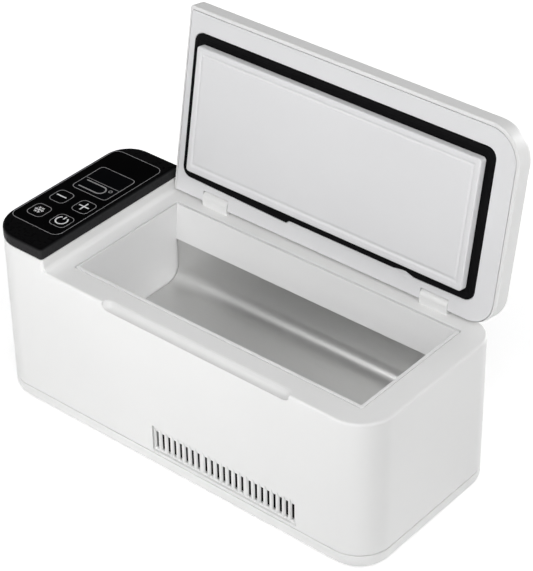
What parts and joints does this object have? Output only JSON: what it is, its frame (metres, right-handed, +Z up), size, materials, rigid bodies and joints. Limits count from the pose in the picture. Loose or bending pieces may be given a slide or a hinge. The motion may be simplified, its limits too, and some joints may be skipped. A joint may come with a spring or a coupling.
{
  "type": "insulin cooling case",
  "caption": "White portable cooling box for insulin pens with a hinged sealed lid, a metal-lined storage well, a fan-cooled thermoelectric stack and a black key panel.",
  "frame": {"origin": "on the plane the feet stand on, under the middle of the object with its lid open", "axes": "+X along the case away from the key panel, -Y to the front with the vent, +Z up"},
  "size_m": [0.23, 0.1196, 0.1836],
  "materials": {
    "white_shell": "smooth moulded white plastic",
    "white_satin": "satin moulded white plastic",
    "black_gloss": "glossy black plastic",
    "black_matte": "matt black plastic",
    "smoked_lens": "polished dark window",
    "satin_aluminium": "satin rolled aluminium",
    "bright_steel": "plated steel",
    "black_rubber": "matt black rubber",
    "pale_foam": "rigid insulation foam",
    "white_ceramic": "matt alumina",
    "green_board": "lacquered circuit board"
  },
  "bodies": {
    "lid": {"lid_shell": "white_shell", "lid_inner_panel": "white_satin", "lid_plug": "white_satin", "lid_seal": "black_rubber", "lid_foam": "pale_foam", "lid_magnet_left": "bright_steel", "lid_magnet_right": "bright_steel"},
    "case": {"upper_housing": "white_shell", "base_cover": "white_shell", "vent_grille": "white_shell", "base_screw_front_left": "bright_steel", "foot_front_left": "black_rubber", "base_screw_front_right": "bright_steel", "foot_front_right": "black_rubber", "base_screw_back_left": "bright_steel", "foot_back_left": "black_rubber", "base_screw_back_right": "bright_steel", "foot_back_right": "black_rubber", "liner_frame": "white_satin", "cold_trough": "satin_aluminium", "insulation_foam": "pale_foam", "cold_block": "satin_aluminium", "peltier_module": "white_ceramic", "heat_sink": "satin_aluminium", "stack_screw_left": "bright_steel", "stack_screw_right": "bright_steel", "fan_frame": "black_matte", "fan_screw_front_left": "bright_steel", "fan_screw_front_right": "bright_steel", "fan_screw_back_left": "bright_steel", "fan_screw_back_right": "bright_steel", "temperature_sensor": "bright_steel", "control_cap": "black_gloss", "panel_overlay": "black_gloss", "display_window": "smoked_lens", "display_module": "black_matte", "control_board": "green_board", "switch_set": "black_matte", "switch_power": "black_matte", "switch_minus": "black_matte", "switch_plus": "black_matte", "board_screw_front": "bright_steel", "board_screw_back": "bright_steel", "dc_socket": "black_matte", "socket_nut": "bright_steel", "power_lead": "black_rubber", "peltier_lead": "black_rubber", "fan_lead": "black_rubber", "sensor_lead": "black_rubber", "hinge_pin_left": "bright_steel", "case_magnet_left": "bright_steel", "hinge_pin_right": "bright_steel", "case_magnet_right": "bright_steel"},
    "fan": {"fan_rotor": "black_matte"},
    "key_set": {"key_set": "black_gloss"},
    "key_power": {"key_power": "black_gloss"},
    "key_minus": {"key_minus": "black_gloss"},
    "key_plus": {"key_plus": "black_gloss"}
  },
  "joints": [
    {"name": "lid_hinge", "type": "hinge", "parent": "case", "child": "lid", "pos_m": [0, 0.03507, 0.0901], "axis": [1, 0, 0], "range_deg": [0, 100.3]},
    {"name": "fan_spin", "type": "hinge", "parent": "case", "child": "fan", "pos_m": [0.032, -0.01008, 0.0098], "axis": [0, 0, 1], "continuous": true},
    {"name": "key_set_press", "type": "slide", "parent": "case", "child": "key_set", "axis": [0, 0, -1], "range_m": [0, 0.0006], "stiffness_N_per_m": 800},
    {"name": "key_power_press", "type": "slide", "parent": "case", "child": "key_power", "axis": [0, 0, -1], "range_m": [0, 0.0006], "stiffness_N_per_m": 800},
    {"name": "key_minus_press", "type": "slide", "parent": "case", "child": "key_minus", "axis": [0, 0, -1], "range_m": [0, 0.0006], "stiffness_N_per_m": 800},
    {"name": "key_plus_press", "type": "slide", "parent": "case", "child": "key_plus", "axis": [0, 0, -1], "range_m": [0, 0.0006], "stiffness_N_per_m": 800}
  ]
}
